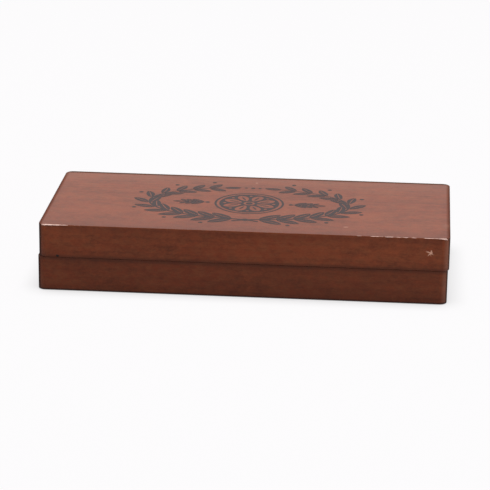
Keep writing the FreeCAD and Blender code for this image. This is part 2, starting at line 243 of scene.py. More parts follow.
def hang_lamp(name, place, size, strength, colour=(1.0, 1.0, 1.0)):
    """A square lamp of so many watts, aimed at the middle of the box."""
    lamp = bpy.data.objects.new(name, bpy.data.lights.new(name, "AREA"))
    lamp.data.size = size
    lamp.data.energy = strength
    lamp.data.color = colour
    lamp.location = place
    lamp.rotation_mode = "QUATERNION"
    lamp.rotation_quaternion = (camera_aim - Vector(place)).to_track_quat("-Z", "Y")
    lamp.visible_camera = False
    lamp.visible_glossy = False
    scene.collection.objects.link(lamp)


hang_lamp("overhead_lamp", (0.0, 0.1, 1.3), 1.2, 17.5, (1.0, 1.04, 0.99))
hang_lamp("front_lamp", (0.2, -1.5, 1.0), 0.8, 1.0)
hang_lamp("right_lamp", (1.5, -0.35, 0.4), 0.5, 5.0)


# Boards of the base and the lid
# Each half is two planks of a plain close-grained hardwood, glued edge to edge, milled hollow,
# rounded at its corners, stained a red brown and sprayed with a thin satin lacquer.
corner_round = 4.0 * MM
edge_round = 0.3 * MM
rim_round = 0.3 * MM
mouth_round = 0.5 * MM
hollow_round = 6.0 * MM
felt_gap = 0.2 * MM
ink_thickness = 0.03 * MM
leaf_thickness = 1.0 * MM
gain_gap = 0.1 * MM
magnet_gap = 0.05 * MM
head_radius = 1.85 * MM
shank_radius = 0.95 * MM
level = 0.002 * MM

stain_deep = (0.240, 0.047, 0.017)
stain_warm = (0.334, 0.078, 0.029)
stain_brown = (0.264, 0.076, 0.030)
stain_dark = (0.085, 0.017, 0.0075)
# A paler stain: faded wood on the rear of the lid's top, and a painted highlight on faces turned to the
# right.
faded_stain_and_sheen = (0.32, 0.155, 0.105)
# Near-black stain of soaked end grain, also the colour laid on as painted shade.
soaked_end_and_shade = (0.018, 0.007, 0.005)
end_grain = (0.130, 0.030, 0.013)


def toned(colour, tone):
    return tuple(channel * tone for channel in colour) + (1,)


def both_boxes(*nodes):
    """The box round several nodes."""
    lows, highs = zip(*[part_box(node) for node in nodes])
    return Vector(map(min, *lows)), Vector(map(max, *highs))


def stain(finish, low, high, rim, tone, pith, seed):
    """Stained grain that runs along the boards, darker in the pores, in the end grain and near the outer
    edges; the arrises darken partly as built-up stain and partly as painted shade, the rim, the foot and the
    left end get painted shade, and faces turned to the right a painted highlight.
    """
    place = finish.place()
    grain = place.shift(seed)
    sway = grain.noise((0.007, 0.02, 0.02), detail=1.0) * 10.0
    sway = finish.vector(Y=sway, Z=sway)
    waved = grain.shift(sway)
    from_pith = place.shift(pith).shift(sway).stretch((0, 1, 1)).length()
    rings = (from_pith * 0.23).by("FRACT").ramp(0.35, 1.0)
    bands = waved.noise((0.006, 0.11, 0.11), detail=3.0)
    streaks = waved.noise((0.045, 1.1, 1.1), detail=2.0)
    pores = waved.noise((0.3, 4.0, 4.0), detail=1.0).ramp(0.6, 0.72)
    clouds = grain.noise((0.02, 0.035, 0.035), detail=4.0, roughness=0.62)
    slanted = grain.shift(finish.vector(X=place.axes()[2] * 0.7))
    figure = slanted.noise((0.09, 0.05, 0.03), detail=2.0)
    spots = grain.noise((0.16, 0.3, 0.3), detail=3.0, roughness=0.7)
    mottle = grain.noise((0.04, 0.07, 0.07), detail=5.0, roughness=0.9)

    warmth = (bands * 0.3 + streaks * 0.16 + clouds * 0.7 + figure * 0.25).ramp(0.5, 0.95)
    colour = finish.mix(toned(stain_deep, tone), toned(stain_warm, tone), warmth)
    colour = finish.mix(colour, toned(stain_brown, tone), spots.ramp(0.38, 0.66) * 0.6)
    uneven = (mottle - 0.415) * 2.35
    colour = finish.mix(colour, toned(stain_dark, tone), uneven + pores * 0.22 + rings * 0.1)

    across, along, up = place.axes()
    middle = (low + high) / 2 / MM
    half = (high - low) / 2 / MM
    from_end = half.x - abs(across - middle.x)
    from_side = half.y - abs(along - middle.y)
    from_rear = high.y / MM - along
    from_face = half.z - abs(up - middle.z)
    sideways, _, upwards = finish.facing()
    # Painted highlight: faces turned to the right are paler, standing in for the light and white reflection
    # on the right-hand corner.
    colour = finish.mix(colour, toned(faded_stain_and_sheen, tone), sideways.ramp(0.1, 0.55) * 0.3)
    # End grain soaks up more stain, and the ramp reaches further round on the left, which adds painted shade
    # to the left end where less light falls.
    soaked_and_shaded = sideways.ramp(0.66, 0.97).most(sideways.ramp(-0.45, -0.82))
    colour = finish.mix(colour, toned(soaked_end_and_shade, tone), soaked_and_shaded * 0.95)
    end_wood = finish.mix(toned(end_grain, tone), toned(soaked_end_and_shade, tone), rings * 0.4 + uneven + pores * 0.5)
    colour = finish.mix(colour, end_wood, abs(sideways).ramp(0.985, 0.999) * 0.9)
    # The end and rear arrises darken, partly as stain built up there and partly as painted shade along the
    # rounded edges.
    arris_stain_and_shade = (from_end + from_face).ramp(2.4, 0.3) * 0.65
    arris_stain_and_shade = arris_stain_and_shade.most((from_rear + from_face).ramp(3.4, 1.2))
    # Painted shade along the parting line where the two halves meet.
    painted_rim_shade = abs(up - rim / MM).ramp(2.4, 0.2)
    # Painted shade near the foot of the base, darkest at its bottom edge by the table.
    painted_foot_shade = up.ramp(1.5, 0.4).most(up.ramp(10.0, 0.5) * 0.13) * upwards.ramp(-0.95, -0.6)
    shaded = arris_stain_and_shade.most(painted_rim_shade * 0.5).most(painted_foot_shade * 0.9)
    # Painted shade, with some built-up stain at the arrises, laid on in the soaked end colour.
    colour = finish.mix(colour, toned(soaked_end_and_shade, tone), shaded)
    dim_edge = (from_end.least(from_side) + from_face).ramp(6.0, 1.0)
    colour = finish.mix(colour, toned(stain_dark, tone), dim_edge * 0.15)
    height = streaks * 0.5 + rings * 0.15 - pores
    dull = soaked_and_shaded.most(arris_stain_and_shade)
    return place, colour, height, dull


def lacquer(finish, colour, height, dull):
    """Thin satin lacquer, which sinks into the pores and leaves the end grain dull."""
    return finish.node("BsdfPrincipled", {}, {
        "Base Color": colour,
        "Roughness": 0.36 + dull * 0.5,
        "Specular IOR Level": 0.16,
        "Normal": finish.bump(height, 0.02 * MM, 0.5),
    })


def take_off(made, edges, radius, steps):
    """Round some edges."""
    bmesh.ops.bevel(
        made, geom=edges, offset=radius, offset_type="OFFSET", segments=steps,
        profile=0.5, affect="EDGES", material=-1,
    )


def is_upright(edge):
    first, second = edge.verts
    return abs(first.co.z - second.co.z) > level and (first.co.xy - second.co.xy).length < level


def block(low, high, radius, steps=8):
    """A block between two corners, with its upright edges rounded."""
    made = bmesh.new()
    bmesh.ops.create_cube(made, size=1.0)
    bmesh.ops.scale(made, verts=made.verts, vec=high - low)
    bmesh.ops.translate(made, verts=made.verts, vec=(low + high) / 2)
    take_off(made, [edge for edge in made.edges if is_upright(edge)], radius, steps)
    return made


def arrises_at(made, height):
    """The edges at one height where a flat face turns into a wall."""
    return [
        edge for edge in made.edges
        if all(abs(vert.co.z - height) < level for vert in edge.verts)
        and len({abs(face.normal.z) > 0.5 for face in edge.link_faces}) == 2
    ]


def as_mesh(made):
    """A mesh of a bmesh that is done with."""
    mesh = bpy.data.meshes.new("part")
    made.to_mesh(mesh)
    made.free()
    return mesh


def add_to(made, other):
    mesh = as_mesh(other)
    made.from_mesh(mesh)
    bpy.data.meshes.remove(mesh)


def combine(made, other, operation):
    """A bmesh with the shapes of another cut out of it, or joined to it as one solid."""
    pieces = []
    for mesh in (as_mesh(made), as_mesh(other)):
        pieces.append(bpy.data.objects.new("combined", mesh))
        scene.collection.objects.link(pieces[-1])
    step = pieces[0].modifiers.new("step", "BOOLEAN")
    step.operation = operation
    step.object = pieces[1]
    step.solver = "EXACT"
    step.use_self = operation == "UNION"
    bpy.context.view_layer.update()
    combined = bmesh.new()
    combined.from_object(pieces[0], bpy.context.evaluated_depsgraph_get())
    for piece in pieces:
        bpy.data.meshes.remove(piece.data)
    return combined


def carve(made, cutters):
    return combine(made, cutters, "DIFFERENCE")


def mill_half(low, high, hollow_low, hollow_high, rim):
    """A rounded blank with a hollow milled into the face at the rim's height."""
    shell = block(low, high, corner_round)
    hollow = block(hollow_low, hollow_high, hollow_round)
    bmesh.ops.reverse_faces(hollow, faces=hollow.faces)
    add_to(shell, hollow)
    rims = [face for face in shell.faces if all(abs(vert.co.z - rim) < level for vert in face.verts)]
    bmesh.ops.delete(shell, geom=rims, context="FACES_ONLY")
    bmesh.ops.bridge_loops(shell, edges=[edge for edge in shell.edges if edge.is_boundary])
    bmesh.ops.recalc_face_normals(shell, faces=shell.faces)
    outer = low.z if rim > low.z + level else high.z
    take_off(shell, arrises_at(shell, outer), edge_round, 4)

    def at_mouth(edge):
        centre = (edge.verts[0].co + edge.verts[1].co) / 2
        inset = 2 * mouth_round
        return all(hollow_low[i] - inset < centre[i] < hollow_high[i] + inset for i in (0, 1))

    edges = arrises_at(shell, rim)
    mouth = [edge for edge in edges if at_mouth(edge)]
    brim = [edge for edge in edges if not at_mouth(edge)]
    take_off(shell, brim, rim_round, 2)
    mouth = [edge for edge in arrises_at(shell, rim) if at_mouth(edge)]
    take_off(shell, mouth, mouth_round, 3)
    return shell


def drill(made, radius, depth, centre, segments=32):
    """An upright rod, or the hole that it leaves."""
    bmesh.ops.create_cone(
        made, cap_ends=True, segments=segments, radius1=radius, radius2=radius,
        depth=depth, matrix=centre,
    )


def cut_fastenings(shell, body, inward):
    """Cut the gains for the hinge leaves, the holes for the magnets and those for the screws."""
    gains = bmesh.new()
    pilots = bmesh.new()
    for side in ("left", "right"):
        leaf_low, leaf_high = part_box(f"hinge_{side}_{body}_leaf")
        screw_low, screw_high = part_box(f"hinge_{side}_{body}_screws")
        heads, tips = (screw_high.z, screw_low.z) if inward < 0 else (screw_low.z, screw_high.z)
        floor = heads + inward * leaf_thickness
        above = heads - inward * leaf_thickness
        low = Vector((leaf_low.x - gain_gap, leaf_low.y - gain_gap, min(floor, above)))
        high = Vector((leaf_high.x + gain_gap, leaf_high.y, max(floor, above)))
        add_to(gains, block(low, high, gain_gap, 1))

        depth = abs(tips - floor) + leaf_thickness / 2
        for x in (screw_low.x + head_radius, screw_high.x - head_radius):
            middle = Vector((x, screw_low.y + head_radius, tips - inward * depth / 2))
            drill(pilots, shank_radius, depth, Matrix.Translation(middle))

        magnet_low, magnet_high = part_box(f"{body}_magnet_{side}")
        radius = (magnet_high.x - magnet_low.x) / 2 + magnet_gap
        deep = magnet_high.z - magnet_low.z
        middle = (magnet_low + magnet_high) / 2 - Vector((0, 0, inward * deep / 2))
        drill(gains, radius, 2 * deep, Matrix.Translation(middle))
    return carve(carve(shell, gains), pilots)


def slice_all(made, point, normal, clear_outer=False):
    bmesh.ops.bisect_plane(
        made, geom=made.verts[:] + made.edges[:] + made.faces[:], dist=1e-7,
        plane_co=point, plane_no=normal, clear_outer=clear_outer,
    )


def saw(shell, glue_line, keep_front):
    """One plank of a half: what lies before or behind the glue line."""
    plank = shell.copy()
    slice_all(plank, (0, glue_line, 0), (0, 1 if keep_front else -1, 0), clear_outer=True)
    bmesh.ops.holes_fill(plank, edges=[edge for edge in plank.edges if edge.is_boundary], sides=0)
    return plank


def finished(name, made, material, body, slot, *nodes):
    """A piece of the box: its mesh and material, its body and the nodes that it stands for."""
    for face in made.faces:
        face.smooth = max(abs(axis) for axis in face.normal) < 0.9999
    mesh = as_mesh(made)
    mesh.name = name
    mesh.materials.append(material)
    piece = bpy.data.objects.new(name, mesh)
    scene.collection.objects.link(piece)
    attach(piece, body)
    if nodes:
        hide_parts(*nodes)
    return piece


# Worn places of the lid
# Handling has rubbed the lid's front arris through to the bare wood near both ends, chipped the
# lacquer on its front, and left a dent at its lower edge and a few faint marks on its top. The
# bare wood is made paler than it is, as a painted highlight along the rubbed arris.
bare_wood_and_glint = (0.99, 0.65, 0.58, 1)
faint_wood = (0.46, 0.22, 0.15, 1)
chipped_wood = (0.82, 0.44, 0.32, 1)
dent_dark = (0.012, 0.006, 0.005, 1)
arris_wear = (
    (-106.8, 0.0), (-105.0, 0.75), (-103.5, 1.0), (-101.0, 1.0), (-100.0, 0.8), (-96.5, 0.75),
    (-95.0, 0.5), (-92.5, 0.45), (-91.0, 0.15), (-70.0, 0.0), (59.0, 0.0), (61.0, 0.45),
    (63.0, 0.0), (66.5, 0.0), (67.5, 0.38), (72.5, 0.3), (74.0, 0.0), (75.5, 0.55), (78.0, 0.4),
    (79.5, 0.05), (80.5, 0.35), (83.5, 0.1), (85.0, 0.55), (86.5, 0.15), (90.0, 0.45), (91.0, 0.1),
    (94.0, 0.1), (95.0, 0.38), (102.5, 0.42), (105.0, 0.85), (106.5, 1.0), (107.4, 0.0),
)
rubbed_depth = 0.08 * MM
rubbed_reach = 0.7
rubbed_rise = -0.16
arris_steps = 160
chip_centre = (98.4, -50.0, 28.0)
chip_reach = 3.2
chip_arms = (
    (0.0, 0.35), (0.05, 0.25), (0.09, 0.6), (0.12, 0.8), (0.16, 0.3), (0.20, 0.25), (0.24, 0.6),
    (0.27, 0.2), (0.36, 0.2), (0.39, 0.6), (0.43, 0.25), (0.66, 0.3), (0.71, 0.55), (0.77, 0.5),
    (0.84, 0.25), (0.90, 0.35), (0.93, 1.0), (0.97, 0.9), (1.0, 0.35),
)
dent_centre = (-96.75, -50.0, 19.0)
dent_reach = (1.0, 2.0, 0.75)


def spot(place, centre, reach, soft=0.6):
    """One about a centre and nothing beyond a reach that differs by direction."""
    offset = place.shift([-part for part in centre]).stretch([1 / part for part in reach])
    return offset.length().ramp(1.0, soft)


def wear_front(finish, place, colour, height, low, high):
    """The rubbed arris, the chip, the dent and the marks, laid over the stained wood, which is also darker
    towards the front of the top and has a patch of painted shade high on the left of the front.
    """
    across, along, up = place.axes()
    facing_up = finish.facing()[2].ramp(0.4, 0.9)
    from_front = along - low.y / MM
    from_top = high.z / MM - up
    colour = finish.mix(colour, toned(stain_dark, 1.0), from_front.ramp(24.0, -6.0) * facing_up * 0.38)

    ragged = place.noise((0.7, 1.6, 1.6), detail=3.0, roughness=0.6)
    flecks = place.noise((1.7, 4.0, 4.0), detail=2.0)
    first, last = arris_wear[0][0], arris_wear[-1][0]
    stops = [((x - first) / (last - first), wear) for x, wear in arris_wear]
    worn = finish.node("ValToRGB", {"stops": stops}, {"Fac": (across - first) * (1 / (last - first))})
    smeared = worn.ramp(0.2, 0.6) * from_top.ramp(1.6, 0.7) * from_front.ramp(0.4, 0.1)
    colour = finish.mix(colour, toned(stain_dark, 1.0), smeared * 0.4)
    reach = (worn + ragged * 0.9 + flecks * 0.6 - 0.82) * worn.ramp(0.02, 0.15) * rubbed_reach
    off_middle = abs(from_top - from_front - rubbed_rise) + from_top.least(from_front) * 0.5
    rubbed = (reach - off_middle).ramp(0.0, 0.08)
    # Rubbed through to the bare wood, whose colour is pushed pale enough to be a painted highlight along the
    # arris as well.
    colour = finish.mix(colour, bare_wood_and_glint, rubbed)

    offset = place.shift([-part for part in chip_centre]).axes()
    flat = finish.vector(X=offset[0], Y=offset[2])
    turn = finish.node("TexGradient", {"gradient_type": "RADIAL"}, {"Vector": flat}, output="Fac")
    arms = finish.node("ValToRGB", {"stops": chip_arms}, {"Fac": turn}) * chip_reach
    away = flat.length()
    chip = (arms - away + (flecks - 0.5) * 1.6).ramp(0.0, 0.35)
    crumbs = flecks.ramp(0.66, 0.7) * away.ramp(3.0, 2.0)
    chip = chip.most(crumbs) * from_front.ramp(0.5, 0.2) * away.ramp(3.8, 0.6)
    colour = finish.mix(colour, chipped_wood, chip)

    dent = spot(place, dent_centre, dent_reach)
    # Painted shade: a darker patch high on the left of the lid's front, where less light falls.
    painted_shade_patch = spot(place, (-57.0, -50.0, 33.0), (30.0, 6.0, 10.0), 0.0)
    colour = finish.mix(colour, toned(stain_dark, 1.0), painted_shade_patch * 0.25)
    colour = finish.mix(colour, dent_dark, dent)
    colour = finish.mix(colour, faint_wood, spot(place, (53.5, -35.9, 36.0), (1.6, 1.3, 1.0)) * 0.5)
    colour = finish.mix(colour, faint_wood, spot(place, (106.0, -28.0, 36.0), (3.0, 5.0, 2.0), 0.2) * 0.15)
    return colour, height - rubbed * 2.0 - chip * 3.0 - dent * 12.0


def wear_rear(finish, place, colour):
    """The darker stripe behind the glue line, a faded rear, and faint marks."""
    behind = place.axes()[1] - glue_line / MM
    stripe = behind.ramp(9.0, 4.0) * behind.ramp(-0.5, 2.5)
    colour = finish.mix(colour, toned(stain_dark, 1.0), stripe * 0.16)
    faded = behind.ramp(10.0, 44.0) * finish.facing()[2].ramp(0.4, 0.9)
    colour = finish.mix(colour, toned(faded_stain_and_sheen, 1.0), faded * 0.18)
    cloud = spot(place, (77.0, 15.0, 36.0), (6.0, 10.0, 2.0), 0.0)
    colour = finish.mix(colour, toned(stain_deep, 0.8), cloud * 0.4)
    return finish.mix(colour, faint_wood, spot(place, (1.2, 38.8, 36.0), (0.9, 0.9, 1.0)) * 0.8)


def wear_at(x):
    """How worn the arris is at a place along the box."""
    for (before, first), (after, second) in zip(arris_wear, arris_wear[1:]):
        if before <= x <= after:
            return first + (second - first) * (x - before) / (after - before)
    return 0.0


def rub_arris(shell, low, high):
    """Flatten the rounded front arris where it is worn."""
    strips = [
        edge for edge in shell.edges
        if abs(edge.verts[0].co.x - edge.verts[1].co.x) > (high.x - low.x) / 2
        and all(vert.co.y < low.y + edge_round + level for vert in edge.verts)
        and all(vert.co.z > high.z - edge_round - level for vert in edge.verts)
    ]
    bmesh.ops.subdivide_edges(shell, edges=strips, cuts=arris_steps, use_grid_fill=True)
    for vert in shell.verts:
        inset = vert.co.y - low.y
        drop = high.z - vert.co.z
        if level < inset < edge_round - level and level < drop < edge_round - level:
            ragged = 0.6 + 0.4 * noise.noise(vert.co * 700)
            vert.co += Vector((0, 1, -1)) * (wear_at(vert.co.x / MM) * ragged * rubbed_depth)


base_low, base_high = both_boxes("base_front_board", "base_rear_board")
lid_low, lid_high = both_boxes("lid_front_board", "lid_rear_board")
glue_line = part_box("base_front_board")[1].y
board_top = lid_high.z - ink_thickness
side_gap = Vector((felt_gap, felt_gap, 0))

felt_low, felt_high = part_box("base_felt")
base_hollow_high = Vector((felt_high.x, felt_high.y, base_high.z)) + side_gap
base_shell = mill_half(base_low, base_high, felt_low - side_gap, base_hollow_high, base_high.z)
base_shell = cut_fastenings(base_shell, "base", -1)

felt_low, felt_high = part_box("lid_floor_felt")
lid_hollow_low = Vector((felt_low.x, felt_low.y, lid_low.z)) - side_gap
lid_blank_high = Vector((lid_high.x, lid_high.y, board_top))
lid_shell = mill_half(lid_low, lid_blank_high, lid_hollow_low, felt_high + side_gap, lid_low.z)
rub_arris(lid_shell, lid_low, lid_blank_high)
lid_shell = cut_fastenings(lid_shell, "lid", 1)

base_tone = 0.84
boards = (
    ("base_front_board", (0.0, 60.0, 95.0), (0.0, 0.0, 0.0)),
    ("base_rear_board", (0.0, -20.0, 130.0), (310.0, 57.0, 23.0)),
    ("lid_front_board", (0.0, 40.0, 60.0), (90.0, 14.0, 71.0)),
    ("lid_rear_board", (0.0, -90.0, -40.0), (417.0, 92.0, 36.0)),
)
for name, pith, seed in boards:
    body = name.split("_")[0]
    finish = Finish(bpy.data.materials.new(f"{name}_stain"))
    if body == "base":
        grained = stain(finish, base_low, base_high, base_high.z, base_tone, pith, seed)
        shell = base_shell
    else:
        grained = stain(finish, lid_low, lid_blank_high, lid_low.z, 1.0, pith, seed)
        shell = lid_shell
    place, colour, height, dull = grained
    if name == "lid_front_board":
        colour, height = wear_front(finish, place, colour, height, lid_low, lid_blank_high)
    if name == "lid_rear_board":
        colour = wear_rear(finish, place, colour)
    if name == "base_front_board":
        # Painted shade: the base's front darker towards the bottom.
        painted_shade_patch = spot(place, (40.0, -50.0, 6.0), (75.0, 20.0, 22.0), 0.0)
        colour = finish.mix(colour, toned(stain_dark, base_tone), painted_shade_patch * 0.2)
    material = finish.show(lacquer(finish, colour, height, dull))
    plank = saw(shell, glue_line, "front" in name)
    finished(f"{name}_wood", plank, material, body, f"{body}_wood", name)
base_shell.free()
lid_shell.free()


# Printed ornament
# A wreath of two leafy branches round a medallion with an eight-petalled flower, screen-printed
# on the lid in one dark matt ink, a few hundredths of a millimetre thick.
ink_colour = (0.026, 0.0125, 0.0125, 1)
ink_faded = (0.050, 0.024, 0.020, 1)
ink_sink = 0.02 * MM
wreath_reach = Vector((54.0, 28.5)) * MM
branch_start = -0.13
branch_crossing = 0.14
branch_droop = 50.0 * MM
branch_end = math.pi - 0.28
branch_leaves = 12
branch_width = 1.6 * MM
leaf_length = 13.5 * MM
leaf_width = 5.4 * MM
leaf_angle = math.radians(33)
leaf_vein = 0.11
stalk_gap = 0.95 * MM
berry_radius = 1.2 * MM
berry_out = 10.6 * MM
medallion_radius = 16.2 * MM
medallion_rings = (17.6 * MM, 18.8 * MM)
medallion_eye = 3.1 * MM
petals = 8
petal_root = 4.4 * MM
petal_length = 10.2 * MM
petal_width = 5.6 * MM
petal_berry = Vector((13.3, 0.0)) * MM
twig_start = 22.5 * MM
twig_end = 36.5 * MM
twig_width = 0.9 * MM
twig_leaves = 3
twig_leaf_length = 7.6 * MM
twig_leaf_width = 3.0 * MM


def ink_disc(made, radius, centre, segments=20, filled=True):
    bmesh.ops.create_circle(
        made, cap_ends=filled, radius=radius, segments=segments,
        matrix=Matrix.Translation(centre.to_3d()),
    )


def ink_leaf(made, root, direction, length, width, bend=0.0, vein_share=leaf_vein):
    """A pointed leaf, whose bare vein takes a share of its width."""
    turn = Matrix.Rotation(direction, 2)
    vein = width * vein_share
    for side in (1, -1):
        for vert in bmesh.ops.create_circle(made, cap_ends=True, radius=1.0, segments=20)["verts"]:
            share = (1 + vert.co.x) / 2
            bulge = abs(vert.co.y)
            outward = vein / 2 * (bulge * 1.15 - 0.15)
            if vert.co.y > 0:
                outward += (width - vein) / 2 * bulge ** 1.4
            flat = Vector((share * length, side * outward + bend * length * share * (1 - share)))
            vert.co = (root + turn @ flat).to_3d()


def ink_ribbon(made, path, start, end, width, steps=48):
    """A stroke along a path that tapers towards its end."""
    for vert in bmesh.ops.create_grid(made, x_segments=steps, y_segments=1, size=1.0)["verts"]:
        share = (1 + vert.co.x) / 2
        at = start + (end - start) * share
        ahead = path(at + 0.001) - path(at - 0.001)
        across = Vector((-ahead.y, ahead.x)).normalized()
        half = width / 2 * (1 - 0.6 * share)
        vert.co = (path(at) + across * vert.co.y * half).to_3d()


def branch_path(side):
    """The right or left branch: from where the two cross in front round to the gap behind."""
    def path(turn):
        droop = branch_droop * max(branch_crossing - turn, 0.0) ** 2
        return Vector((
            side * math.sin(turn) * wreath_reach.x,
            -math.cos(turn) * wreath_reach.y - droop,
        ))
    return path


def even_turns(path, start, end, count):
    """Turns that part a path into stretches of the same length."""
    steps = 400
    turns = [start + (end - start) * step / steps for step in range(steps + 1)]
    run = [0.0]
    for before, after in zip(turns, turns[1:]):
        run.append(run[-1] + (path(after) - path(before)).length)
    wanted = [run[-1] * number / count for number in range(count + 1)]
    return [turns[min(range(steps + 1), key=lambda i: abs(run[i] - length))] for length in wanted]


def twig_path(side):
    """The straight twig beside the medallion."""
    def path(share):
        return Vector((side * (twig_start + (twig_end - twig_start) * share), 0.0))
    return path


def grow(leaves, path, turns, side, length, width, stalk):
    """Pairs of leaves that grow along a path and get smaller, with one more at its end."""
    last = len(turns) - 1
    for number, turn in enumerate(turns):
        share = number / last
        ahead = (path(turn + 0.01) - path(turn - 0.01)).normalized()
        out = Vector((ahead.y, -ahead.x)) * side
        heading = math.atan2(ahead.y, ahead.x)
        leaf = (length * (1.0 - 0.3 * share), width * (1.0 - 0.25 * share))
        if number == last:
            ink_leaf(leaves, path(turn) - ahead * stalk, heading, *leaf)
            return
        for hand in (1, -1):
            root = path(turn) + out * hand * stalk
            ink_leaf(leaves, root, heading - side * hand * leaf_angle, *leaf, bend=0.14 * side * hand)


def around(number):
    """The direction of one petal of the flower."""
    return (number + 0.5) * math.tau / petals


def raise_up(made, floor, top):
    """Turn flat outlines into a closed solid between two heights."""
    for vert in made.verts:
        vert.co.z = floor
    raised = bmesh.ops.extrude_face_region(made, geom=made.faces[:])["geom"]
    moved = [item for item in raised if isinstance(item, bmesh.types.BMVert)]
    bmesh.ops.translate(made, verts=moved, vec=(0, 0, top - floor))
    bmesh.ops.recalc_face_normals(made, faces=made.faces)


leaves = bmesh.new()
strokes = bmesh.new()
for side in (1, -1):
    path = branch_path(side)
    ink_ribbon(strokes, path, branch_start, branch_end, branch_width)
    turns = even_turns(path, branch_crossing, branch_end, branch_leaves)
    grow(leaves, path, turns, side, leaf_length, leaf_width, stalk_gap)
    for number in range(1, branch_leaves, 2):
        turn = turns[number] * 0.55 + turns[number + 1] * 0.45
        ahead = (path(turn + 0.01) - path(turn - 0.01)).normalized()
        out = Vector((ahead.y, -ahead.x)) * side
        ink_disc(strokes, berry_radius, path(turn) + out * berry_out)

    twig = twig_path(side)
    ink_ribbon(strokes, twig, 0.0, 1.0, twig_width, steps=4)
    turns = [0.15 + 0.85 * number / twig_leaves for number in range(twig_leaves + 1)]
    grow(leaves, twig, turns, side, twig_leaf_length, twig_leaf_width, stalk_gap / 2)
    ink_disc(strokes, berry_radius, twig(0.0))
    ink_disc(strokes, berry_radius * 0.75, Vector((side * 3.8 * MM, wreath_reach.y)))
ink_disc(strokes, berry_radius, Vector((0.0, wreath_reach.y)))
ink_disc(strokes, berry_radius * 1.6, branch_path(1)(0.0))

medallion = bmesh.new()
ink_disc(medallion, medallion_radius, Vector((0, 0)), 64, filled=False)
ink_disc(medallion, medallion_eye, Vector((0, 0)), 24, filled=False)
for number in range(petals):
    turn = Matrix.Rotation(around(number), 2)
    for vert in bmesh.ops.create_circle(medallion, radius=1.0, segments=24)["verts"]:
        share = (1 + vert.co.x) / 2
        wide = petal_width / 2 * abs(vert.co.y) ** 1.3 * (0.75 + 0.5 * share)
        flat = Vector((petal_root + share * petal_length, math.copysign(wide, vert.co.y)))
        vert.co = (turn @ flat).to_3d()
    between = Matrix.Rotation(around(number + 0.5), 2) @ petal_berry
    ink_disc(medallion, 0.9 * MM, between, 12, filled=False)
bmesh.ops.triangle_fill(medallion, use_beauty=True, edges=medallion.edges[:])
ring_edges = []
for radius in medallion_rings:
    found = bmesh.ops.create_circle(medallion, radius=radius, segments=64)
    ring_edges += {edge for vert in found["verts"] for edge in vert.link_edges}
bmesh.ops.bridge_loops(medallion, edges=ring_edges)
ink_disc(medallion, medallion_eye * 0.62, Vector((0, 0)))
for number in range(petals):
    root = Matrix.Rotation(around(number), 2) @ Vector((petal_root * 1.35, 0))
    ink_leaf(leaves, root, around(number), petal_length * 0.6, petal_width * 0.2, vein_share=0.0)

for shapes in (leaves, strokes, medallion):
    raise_up(shapes, board_top - ink_sink, lid_high.z)
ink = combine(leaves, strokes, "UNION")
add_to(ink, medallion)
ink_finish = Finish(bpy.data.materials.new("printed_ink"))
place = ink_finish.place()
mottle = place.noise((0.35, 0.35, 0.35), detail=3.0).ramp(0.45, 0.75)
fine = place.noise((3.0, 3.0, 3.0), detail=1.0)
ink_shader = ink_finish.node("BsdfPrincipled", {}, {
    "Base Color": ink_finish.mix(ink_colour, ink_faded, mottle * 0.5 + fine.ramp(0.55, 0.7) * 0.2),
    "Roughness": 0.42,
    "Specular IOR Level": 0.16,
    "Normal": ink_finish.bump(fine, 0.01 * MM, 0.5),
})
finished("printed_ornament", ink, ink_finish.show(ink_shader), "lid", "lid_wood")


# Felt linings
# Charcoal wool felt a millimetre thick, cut to size and glued in: one piece on the base's floor,
# one on the lid's floor, and a strip round the lid's walls whose ends meet behind.
felt_colour = (0.030, 0.034, 0.045, 1)
felt_pale = (0.085, 0.092, 0.110, 1)
felt_round = 0.25 * MM
felt_step = 6.0 * MM
felt_swell = 0.12 * MM
seam_gap = 0.3 * MM

felt_finish = Finish(bpy.data.materials.new("wool_felt"))
place = felt_finish.place()
sway = place.noise((0.9, 0.9, 0.9), detail=1.0) * 2.4
twisted = place.shift(felt_finish.vector(X=sway, Y=sway, Z=sway))
fibres_across = twisted.noise((0.7, 7.0, 3.0), detail=2.0)
fibres_along = twisted.noise((7.0, 0.7, 3.0), detail=2.0)
fibres = fibres_across.most(fibres_along)
nap = place.noise((0.12, 0.12, 0.12), detail=3.0)
pale_share = fibres.ramp(0.6, 0.74) * 0.55 + nap.ramp(0.4, 0.7) * 0.16
felt_shader = felt_finish.node("BsdfPrincipled", {}, {
    "Base Color": felt_finish.mix(felt_colour, felt_pale, pale_share),
    "Roughness": 0.95,
    "Specular IOR Level": 0.2,
    "Sheen Weight": 0.25,
    "Sheen Roughness": 0.5,
    "Normal": felt_finish.bump(fibres * 0.7 + nap, 0.25 * MM, 0.8),
})
felt_material = felt_finish.show(felt_shader)


def lay_felt(name, node, shown, body):
    """A sheet of felt with a soft cut edge, whose shown face is a little uneven."""
    low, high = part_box(node)
    sheet = block(low, high, hollow_round - felt_gap)
    for axis in (0, 1):
        cuts = round((high[axis] - low[axis]) / felt_step)
        for number in range(1, cuts):
            point = low.lerp(high, number / cuts)
            slice_all(sheet, point, (axis == 0, axis == 1, 0))
    face_z = high.z if shown > 0 else low.z
    take_off(sheet, arrises_at(sheet, face_z), felt_round, 2)
    for vert in sheet.verts:
        if abs(vert.co.z - face_z) < level:
            vert.co.z -= shown * felt_swell * (0.5 + 0.5 * noise.noise(vert.co * 60))
    piece = finished(name, sheet, felt_material, body, "felt", node)


lay_felt("base_floor_lining", "base_felt", 1, "base")
lay_felt("lid_floor_lining", "lid_floor_felt", -1, "lid")

